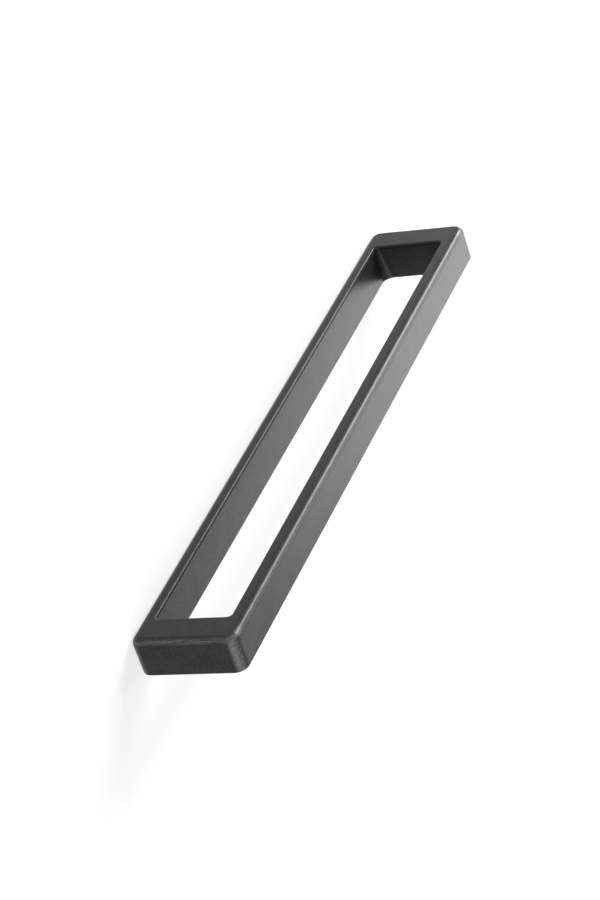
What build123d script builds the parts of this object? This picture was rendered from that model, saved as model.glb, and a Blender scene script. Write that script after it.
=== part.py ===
from build123d import *
import os
from math import radians, tan

# Closed frame handle for furniture: one cast piece with a finger opening between a grip bar and a wall bar.
# X runs along the handle and Z runs away from the furniture, so the mounting face lies on the XY plane with its
# screw holes open downwards, and the grip bar is at the top. The front, with the rounded outer edge, faces -Y.
# The origin is at the centre of the mounting face. Sizes are in millimetres.

# Outer form
hole_spacing = 160.0  # between the two screw holes, a standard spacing of furniture handles
post_width = 8.0  # each end post, along X, at the front
projection = 25.0  # from the furniture to the outside of the grip bar
depth = 9.0  # the whole handle, along Y
corner_radius = 2.7  # the frame's four outer corners
front_round = 1.75  # the outer edge of the front
back_round = 0.3  # the outer edge of the back, which is only broken

# Finger opening, measured at the front
grip_bar = 3.6  # along Z
wall_bar = 3.15  # along Z
opening_lean = 0.9  # how far each wall leans inwards from the front to the back
opening_corner_front = 1.0
opening_corner_back = 2.4
front_rim_round = 0.4
back_rim_round = 0.5

# Fine line that runs round the opening just behind its rounded front rim
line_setback = 0.5  # from the front to the line
line_width = 0.28
line_depth = 0.15

# Blind screw holes in the mounting face
screw_radius = 2.0  # M4, at the root of the thread
thread_length = 12.0
drill_point_angle = 118.0
mouth_chamfer = 0.3

length = hole_spacing + post_width
back = -depth / 2  # as an offset of the XZ plane, which counts towards -Y
opening_length = length - 2 * post_width
opening_height = projection - grip_bar - wall_bar
frame_centre = (0, projection / 2)
opening_centre = (0, wall_bar + opening_height / 2)
drill_point = screw_radius / tan(radians(drill_point_angle / 2))


def opening_outline(from_back, growth=0.0):
    """Rounded rectangle of the opening at a distance in front of the back, grown outwards by growth."""
    lean_left = 1 - from_back / depth
    inset = opening_lean * lean_left - growth
    corner = opening_corner_front + (opening_corner_back - opening_corner_front) * lean_left + growth
    with BuildSketch(Plane.XZ.offset(back + from_back)) as outline:
        with Locations(opening_centre):
            RectangleRounded(opening_length - 2 * inset, opening_height - 2 * inset, corner)
    return outline.sketch


with BuildPart() as furniture_handle:
    # The frame's outer block, with its front edges rounded and its back edges broken
    with BuildSketch(Plane.XZ.offset(back)):
        with Locations(frame_centre):
            RectangleRounded(length, projection, corner_radius)
    extrude(amount=depth)
    fillet(furniture_handle.faces().sort_by(Axis.Y)[0].edges(), radius=front_round)
    fillet(furniture_handle.faces().sort_by(Axis.Y)[-1].edges(), radius=back_round)

    # The finger opening, whose walls lean inwards towards the back
    loft([opening_outline(0), opening_outline(depth)], ruled=True, mode=Mode.SUBTRACT)
    fillet(furniture_handle.faces().sort_by(Axis.Y)[0].inner_wires().edges(), radius=front_rim_round)
    fillet(furniture_handle.faces().sort_by(Axis.Y)[-1].inner_wires().edges(), radius=back_rim_round)

    # The fine line behind the front rim
    line_back = depth - line_setback - line_width
    extrude(opening_outline(line_back, growth=line_depth), amount=line_width, mode=Mode.SUBTRACT)

    # The screw holes, each with a chamfered mouth and the cone that a drill leaves
    for hole_x in (-hole_spacing / 2, hole_spacing / 2):
        with BuildSketch(Plane.XZ):
            with BuildLine():
                Polyline(
                    (hole_x, 0),
                    (hole_x + screw_radius + mouth_chamfer, 0),
                    (hole_x + screw_radius, mouth_chamfer),
                    (hole_x + screw_radius, thread_length),
                    (hole_x, thread_length + drill_point),
                    close=True,
                )
            make_face()
        revolve(axis=Axis((hole_x, 0, 0), (0, 0, 1)), mode=Mode.SUBTRACT)

furniture_handle.part.label = "furniture_handle"

os.makedirs("parts", exist_ok=True)
export_step(furniture_handle.part, "parts/furniture_handle.step")
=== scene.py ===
"""Looks of the furniture handle: its coating, the threads in its screw holes, the floor, lights and camera.

The handle stands on its mounting face at the origin. X runs along it, Z runs up to the grip bar, and the
front faces -Y. Sizes are in metres.
"""
import math

import bpy
from mathutils import Matrix, Vector


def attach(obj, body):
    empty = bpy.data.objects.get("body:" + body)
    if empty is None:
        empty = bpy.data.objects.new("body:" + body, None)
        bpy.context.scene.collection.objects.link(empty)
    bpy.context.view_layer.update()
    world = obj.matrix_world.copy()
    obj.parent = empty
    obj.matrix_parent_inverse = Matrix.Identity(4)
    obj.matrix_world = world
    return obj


# Sizes that the part's source also holds
HOLE_SPACING = 0.160
SCREW_RADIUS = 0.0020
THREAD_LENGTH = 0.0120
MOUTH_CHAMFER = 0.0003

# M4 thread, with the ridge's half widths at its root and crest as shares of the pitch
THREAD_PITCH = 0.0007
THREAD_DEPTH = 0.00038
ROOT_HALF_WIDTH = 0.44
CREST_HALF_WIDTH = 0.0625
TURN_STEPS = 32

# Camera, which sees the photograph's 600 x 900 frame
CAMERA_PLACE = (0.52565, -0.33804, 0.30589)
CAMERA_FORWARD = (-0.75616, 0.49333, -0.42993)
CAMERA_UP = (-0.56799, -0.82107, 0.05682)
CAMERA_LENS = 120.25
SENSOR = 36.0

# Noises: how many features a metre holds, then detail and roughness
MOTTLING = (220.0, 3.0, 0.6)
GRAIN = (2600.0, 2.0, 0.6)
RIPPLE = (700.0, 2.0, 0.5)
STREAKS = (1200.0, 4.0, 0.75)
SPECKS = (1500.0, 3.0, 0.6)
TARNISH = (900.0, 3.0, 0.6)

# Nearly all values of a noise lie in the wide range, and most lie in the narrow one
WIDE_RANGE = (0.3, 0.7)
NARROW_RANGE = (0.38, 0.62)

# Coating: colours, gloss, and the height and strength of its bumps
COAT_DARK = (0.010, 0.0103, 0.011, 1.0)
COAT_LIGHT = (0.032, 0.0325, 0.0335, 1.0)
# The lighter colour of the rounded edges, partly wear and partly a painted highlight
COAT_WORN_AND_HIGHLIGHT = (0.23, 0.231, 0.233, 1.0)
MOTTLING_SHARE = 0.4  # of the mottling in the colour, where the grain makes up the rest
COAT_IOR = 1.5
COAT_SPECULAR = 0.20
COAT_ROUGHNESS = (0.28, 0.34)
BUMP_HEIGHT = 0.00005
RIPPLE_STRENGTH = 0.1
GRAIN_STRENGTH = 0.32

# Wear and painted highlight on the rounded edges, which are painted lighter. The largest part of a normal is
# about 1 on a flat face and less on a rounded edge.
TURNING_NORMAL = (0.98, 0.80)  # the largest part where the wear and painted highlight start, and where they are full
OPENING_END_TO_CORNER = (0.0775, 0.0795)  # distance from the middle over which the wear and painted highlight of an end come in
BAR_EDGE_FACING = (0.15, 0.35)  # facing the front or back, over which the wear and painted highlight along the bars come in
BAR_WEAR_AND_HIGHLIGHT = 0.25  # full wear and painted highlight along the bars, where that of the ends is 1
STREAKED_FACING = (0.2, 0.4)  # facing the front or back, over which streaks take over from specks
STREAK_STRETCH = (0.22, 3.0, 0.22)  # scale along each axis, which draws the streaks out along X and Z
SPECK_RANGE = (0.4, 0.58)  # narrow, which keeps the brightest specks from standing out
LEAST_WEAR_AND_HIGHLIGHT = 0.15  # share of the wear and painted highlight that is left between the marks
EDGE_POLISH = -0.08  # change of roughness where the wear and painted highlight are full

# Cut zinc alloy in the threads
ZINC_DARK = (0.32, 0.33, 0.34, 1.0)
ZINC_LIGHT = (0.48, 0.49, 0.50, 1.0)
ZINC_ROUGHNESS = (0.25, 0.45)

# White floor and surroundings, where a glow of 1 is white to the camera
FLOOR_SIZE = 6.0
FLOOR_COLOUR = (0.42, 0.42, 0.42, 1.0)
FLOOR_GLOW = (0.66, 1.0)  # near the handle, and far away
FLOOR_NEAR_TO_FAR = (0.3, 1.3)  # distance from the origin over which the glow changes
WORLD_FILL = 0.08

# Light boxes: place, size, direction of the first size, and radiance. As the eye follows the handle, the
# place that the handle mirrors moves along LIGHT_RUN.
LIGHT_RUN = (-0.254, 0.065, -0.079)
LIGHTS = {
    "overhead": ((0.0, 0.30, 1.00), (0.9, 0.7), (1.0, 0.0, 0.0), 0.35),
    "side_fill": ((0.92, 0.48, 0.45), (1.1, 0.8), (0.0, 1.0, 0.0), 3.5),
    "top_softbox": ((-0.80, 0.37, 0.33), (0.36, 0.34), LIGHT_RUN, 3.4),
    "upper_softbox": ((-0.71, 0.00, 0.53), (0.38, 0.50), LIGHT_RUN, 5.2),
    "front_strip": ((-0.64, -0.34, 0.455), (0.56, 0.20), LIGHT_RUN, 20.5),
}


class Nodes:
    """Short calls for building one node tree."""

    def __init__(self, tree):
        self.tree = tree
        self.tree.nodes.clear()

    def add(self, kind, **settings):
        node = self.tree.nodes.new(kind)
        for name, value in settings.items():
            setattr(node, name, value)
        return node

    def link(self, out, into):
        self.tree.links.new(out, into)

    def place(self):
        """Object coordinates."""
        return self.add("ShaderNodeTexCoord").outputs["Object"]

    def noise(self, coordinates, scale, detail, roughness):
        """Noise over the coordinates, as a socket from 0 to 1."""
        node = self.add("ShaderNodeTexNoise")
        for name, number in (("Scale", scale), ("Detail", detail), ("Roughness", roughness)):
            node.inputs[name].default_value = number
        self.link(coordinates, node.inputs["Vector"])
        return node.outputs["Fac"]

    def stretched(self, coordinates, scale):
        """The coordinates scaled along each axis. A texture is drawn out where the scale is small."""
        node = self.add("ShaderNodeVectorMath", operation="MULTIPLY")
        self.link(coordinates, node.inputs[0])
        node.inputs[1].default_value = scale
        return node.outputs["Vector"]

    def remap(self, value, low, high, to_low, to_high):
        """The value remapped from one range to another, and clamped."""
        node = self.add("ShaderNodeMapRange")
        self.link(value, node.inputs["Value"])
        ends = {"From Min": low, "From Max": high, "To Min": to_low, "To Max": to_high}
        for name, number in ends.items():
            node.inputs[name].default_value = number
        return node.outputs["Result"]

    def math(self, operation, a, b):
        """Two values joined by a sum, a product or the like; b may be a number."""
        node = self.add("ShaderNodeMath", operation=operation)
        self.link(a, node.inputs[0])
        if isinstance(b, (int, float)):
            node.inputs[1].default_value = b
        else:
            self.link(b, node.inputs[1])
        return node.outputs["Value"]

    def absolute(self, value):
        """The value without its sign."""
        return self.math("ABSOLUTE", value, 0.0)

    def mix(self, kind, factor, a, b):
        """A mix of a and b, where b may be a constant."""
        node = self.add("ShaderNodeMix", data_type=kind)
        self.link(factor, node.inputs["Factor"])
        self.link(a, node.inputs["A"])
        if isinstance(b, tuple):
            node.inputs["B"].default_value = b
        else:
            self.link(b, node.inputs["B"])
        return node.outputs["Result"]

    def ramp(self, value, low, high, low_colour, high_colour):
        """A colour that runs from one to another as the value runs from low to high."""
        node = self.add("ShaderNodeValToRGB")
        first, last = node.color_ramp.elements
        first.position, first.color = low, low_colour
        last.position, last.color = high, high_colour
        self.link(value, node.inputs["Fac"])
        return node.outputs["Color"]

    def rounded_edges(self, coordinates):
        """Wear and painted highlight on the handle's rounded edges, and how far the surface there faces the
        front or the back.

        The mask of wear and painted highlight is 1 on the edges and corners of the ends and less along the
        bars. It is 0 on flat faces and in the opening.
        """
        normal = self.add("ShaderNodeSeparateXYZ")
        self.link(self.add("ShaderNodeNewGeometry").outputs["Normal"], normal.inputs["Vector"])
        x, y, z = (self.absolute(normal.outputs[axis]) for axis in "XYZ")
        largest = self.math("MAXIMUM", self.math("MAXIMUM", x, y), z)
        turning = self.remap(largest, *TURNING_NORMAL, 0.0, 1.0)
        where = self.add("ShaderNodeSeparateXYZ")
        self.link(coordinates, where.inputs["Vector"])
        at_ends = self.remap(self.absolute(where.outputs["X"]), *OPENING_END_TO_CORNER, 0.0, 1.0)
        along_the_bars = self.remap(y, *BAR_EDGE_FACING, 0.0, BAR_WEAR_AND_HIGHLIGHT)
        return self.math("MULTIPLY", turning, self.math("MAXIMUM", at_ends, along_the_bars)), y

    def seen_as_background(self):
        """1 where the camera, gloss or glass sees the surface, and 0 where it only lights others."""
        light_path = self.add("ShaderNodeLightPath")
        seen = light_path.outputs["Is Camera Ray"]
        for ray in ("Is Glossy Ray", "Is Transmission Ray"):
            seen = self.math("MAXIMUM", seen, light_path.outputs[ray])
        return seen

    def bump(self, height, strength, normal=None):
        """A normal bumped by the height."""
        node = self.add("ShaderNodeBump")
        node.inputs["Distance"].default_value = BUMP_HEIGHT
        node.inputs["Strength"].default_value = strength
        self.link(height, node.inputs["Height"])
        if normal is not None:
            self.link(normal, node.inputs["Normal"])
        return node.outputs["Normal"]

    def finish(self, surface, kind="ShaderNodeOutputMaterial"):
        """The output node, with the surface linked to it."""
        self.link(surface, self.add(kind).inputs["Surface"])


def new_material(name):
    """An empty material and its nodes."""
    material = bpy.data.materials.new(name)
    material.use_nodes = True
    return material, Nodes(material.node_tree)


def add_object(name, data):
    """An object with the data, linked into the scene."""
    added = bpy.data.objects.new(name, data)
    bpy.context.scene.collection.objects.link(added)
    return added


def facing(right, up, back):
    """The turn that sets an object's X, Y and Z along the three directions."""
    return Matrix((right, up, back)).transposed().to_4x4()


def make_camera():
    """Create the camera at the photograph's viewing angle."""
    data = bpy.data.cameras.new("camera")
    data.lens = CAMERA_LENS
    data.sensor_width = SENSOR
    camera = add_object("camera", data)
    back = -Vector(CAMERA_FORWARD).normalized()
    right = Vector(CAMERA_UP).cross(back).normalized()
    camera.matrix_world = Matrix.Translation(CAMERA_PLACE) @ facing(right, back.cross(right), back)
    bpy.context.scene.camera = camera


def make_coating():
    """Satin anthracite powder coat: fine grain, faint mottling, and edges painted lighter, partly as wear
    from handling and partly as a painted highlight.
    """
    material, n = new_material("anthracite_coating")
    place = n.place()
    mottling = n.noise(place, *MOTTLING)
    grain = n.noise(place, *GRAIN)
    ripple = n.noise(place, *RIPPLE)

    # Edges painted lighter, partly wear and partly a painted highlight: streaks along the edges of the front
    # and back, and specks where an end turns its corner
    edge, facing_front = n.rounded_edges(place)
    streaks = n.noise(n.stretched(place, STREAK_STRETCH), *STREAKS)
    specks = n.remap(n.noise(place, *SPECKS), *WIDE_RANGE, *SPECK_RANGE)
    drawn_out = n.remap(facing_front, *STREAKED_FACING, 0.0, 1.0)
    marks = n.mix("FLOAT", drawn_out, specks, streaks)
    wear_and_highlight = n.math("MULTIPLY", edge, n.remap(marks, *NARROW_RANGE, LEAST_WEAR_AND_HIGHLIGHT, 1.0))

    mottled = n.math("MULTIPLY", mottling, MOTTLING_SHARE)
    speckle = n.math("ADD", mottled, n.math("MULTIPLY", grain, 1.0 - MOTTLING_SHARE))
    coat = n.ramp(speckle, *NARROW_RANGE, COAT_DARK, COAT_LIGHT)
    polish = n.remap(wear_and_highlight, 0.0, 1.0, 0.0, EDGE_POLISH)
    roughness = n.math("ADD", n.remap(grain, *WIDE_RANGE, *COAT_ROUGHNESS), polish)

    shader = n.add("ShaderNodeBsdfPrincipled")
    shader.inputs["Metallic"].default_value = 0.0
    shader.inputs["IOR"].default_value = COAT_IOR
    shader.inputs["Specular IOR Level"].default_value = COAT_SPECULAR
    # The rounded edges are mixed towards the lighter colour, partly wear and partly a painted highlight
    n.link(n.mix("RGBA", wear_and_highlight, coat, COAT_WORN_AND_HIGHLIGHT), shader.inputs["Base Color"])
    n.link(roughness, shader.inputs["Roughness"])
    n.link(n.bump(grain, GRAIN_STRENGTH, n.bump(ripple, RIPPLE_STRENGTH)), shader.inputs["Normal"])
    n.finish(shader.outputs["BSDF"])
    return material


def make_bare_zinc():
    """Cut zinc alloy inside the threads."""
    material, n = new_material("bare_zinc")
    tarnish = n.noise(n.place(), *TARNISH)
    shader = n.add("ShaderNodeBsdfPrincipled")
    shader.inputs["Metallic"].default_value = 1.0
    n.link(n.ramp(tarnish, 0.0, 1.0, ZINC_DARK, ZINC_LIGHT), shader.inputs["Base Color"])
    n.link(n.remap(tarnish, *WIDE_RANGE, *ZINC_ROUGHNESS), shader.inputs["Roughness"])
    n.finish(shader.outputs["BSDF"])
    return material


def make_thread(name, hole_x, material):
    """The ridge of an M4 thread along the wall of one screw hole, which fades out at both ends."""
    turns = (THREAD_LENGTH - MOUTH_CHAMFER - THREAD_PITCH) / THREAD_PITCH
    steps = round(turns * TURN_STEPS)
    half_root = ROOT_HALF_WIDTH * THREAD_PITCH
    half_crest = CREST_HALF_WIDTH * THREAD_PITCH
    vertices = []
    faces = []
    for i in range(steps + 1):
        angle = 2 * math.pi * i / TURN_STEPS
        height = MOUTH_CHAMFER + half_root + THREAD_PITCH * i / TURN_STEPS
        fade = min(1.0, i / TURN_STEPS, (steps - i) / TURN_STEPS)
        crest = SCREW_RADIUS - THREAD_DEPTH * fade
        profile = (
            (SCREW_RADIUS, -half_root),
            (crest, -half_crest),
            (crest, half_crest),
            (SCREW_RADIUS, half_root),
        )
        for radius, rise in profile:
            vertices.append((hole_x + radius * math.cos(angle), radius * math.sin(angle), height + rise))
        if i:
            here = len(profile) * i
            before = here - len(profile)
            for k in range(len(profile) - 1):
                faces.append((before + k, before + k + 1, here + k + 1, here + k))
    mesh = bpy.data.meshes.new(name)
    mesh.from_pydata(vertices, [], faces)
    mesh.materials.append(material)
    mesh.shade_flat()
    piece = add_object(name, mesh)
    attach(piece, "root")


def make_floor():
    """A plain white floor that keeps the handle's shadow."""
    half = FLOOR_SIZE / 2
    corners = [(-half, -half, 0), (half, -half, 0), (half, half, 0), (-half, half, 0)]
    mesh = bpy.data.meshes.new("floor")
    mesh.from_pydata(corners, [], [(0, 1, 2, 3)])
    floor = add_object("floor", mesh)
    material, n = new_material("white_floor")
    paper = n.add("ShaderNodeBsdfDiffuse")
    paper.inputs["Color"].default_value = FLOOR_COLOUR
    away = n.add("ShaderNodeVectorMath", operation="LENGTH")
    n.link(n.place(), away.inputs[0])
    strength = n.remap(away.outputs["Value"], *FLOOR_NEAR_TO_FAR, *FLOOR_GLOW)
    glow = n.add("ShaderNodeEmission")
    n.link(n.math("MULTIPLY", n.seen_as_background(), strength), glow.inputs["Strength"])
    both = n.add("ShaderNodeAddShader")
    n.link(paper.outputs["BSDF"], both.inputs[0])
    n.link(glow.outputs["Emission"], both.inputs[1])
    n.finish(both.outputs["Shader"])
    mesh.materials.append(material)


def make_world():
    """White surroundings, of which only the fill lights the object."""
    world = bpy.data.worlds.new("world")
    world.use_nodes = True
    n = Nodes(world.node_tree)
    background = n.add("ShaderNodeBackground")
    background.inputs["Color"].default_value = (1.0, 1.0, 1.0, 1.0)
    n.link(n.remap(n.seen_as_background(), 0.0, 1.0, WORLD_FILL, 1.0), background.inputs["Strength"])
    n.finish(background.outputs["Background"], "ShaderNodeOutputWorld")
    bpy.context.scene.world = world


def make_light(name, place, size, run, radiance):
    """A soft light box that points at the origin, with its first size along the run."""
    data = bpy.data.lights.new(name, "AREA")
    data.shape = "RECTANGLE"
    data.size, data.size_y = size
    data.energy = radiance * math.pi * size[0] * size[1]
    light = add_object(name, data)
    back = Vector(place).normalized()
    up = back.cross(Vector(run)).normalized()
    light.matrix_world = Matrix.Translation(place) @ facing(up.cross(back), up, back)


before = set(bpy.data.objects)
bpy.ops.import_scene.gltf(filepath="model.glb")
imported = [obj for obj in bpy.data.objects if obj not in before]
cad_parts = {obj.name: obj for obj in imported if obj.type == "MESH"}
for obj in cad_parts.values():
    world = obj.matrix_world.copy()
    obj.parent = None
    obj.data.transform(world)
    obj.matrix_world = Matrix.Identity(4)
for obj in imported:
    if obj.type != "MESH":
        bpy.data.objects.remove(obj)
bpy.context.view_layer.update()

bpy.context.scene.view_settings.view_transform = "Standard"
make_camera()

coating = make_coating()
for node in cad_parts.values():
    node.data.materials.clear()
    node.data.materials.append(coating)

zinc = make_bare_zinc()
make_thread("thread_left", -HOLE_SPACING / 2, zinc)
make_thread("thread_right", HOLE_SPACING / 2, zinc)

make_floor()
make_world()
for light_name, settings in LIGHTS.items():
    make_light(light_name, *settings)
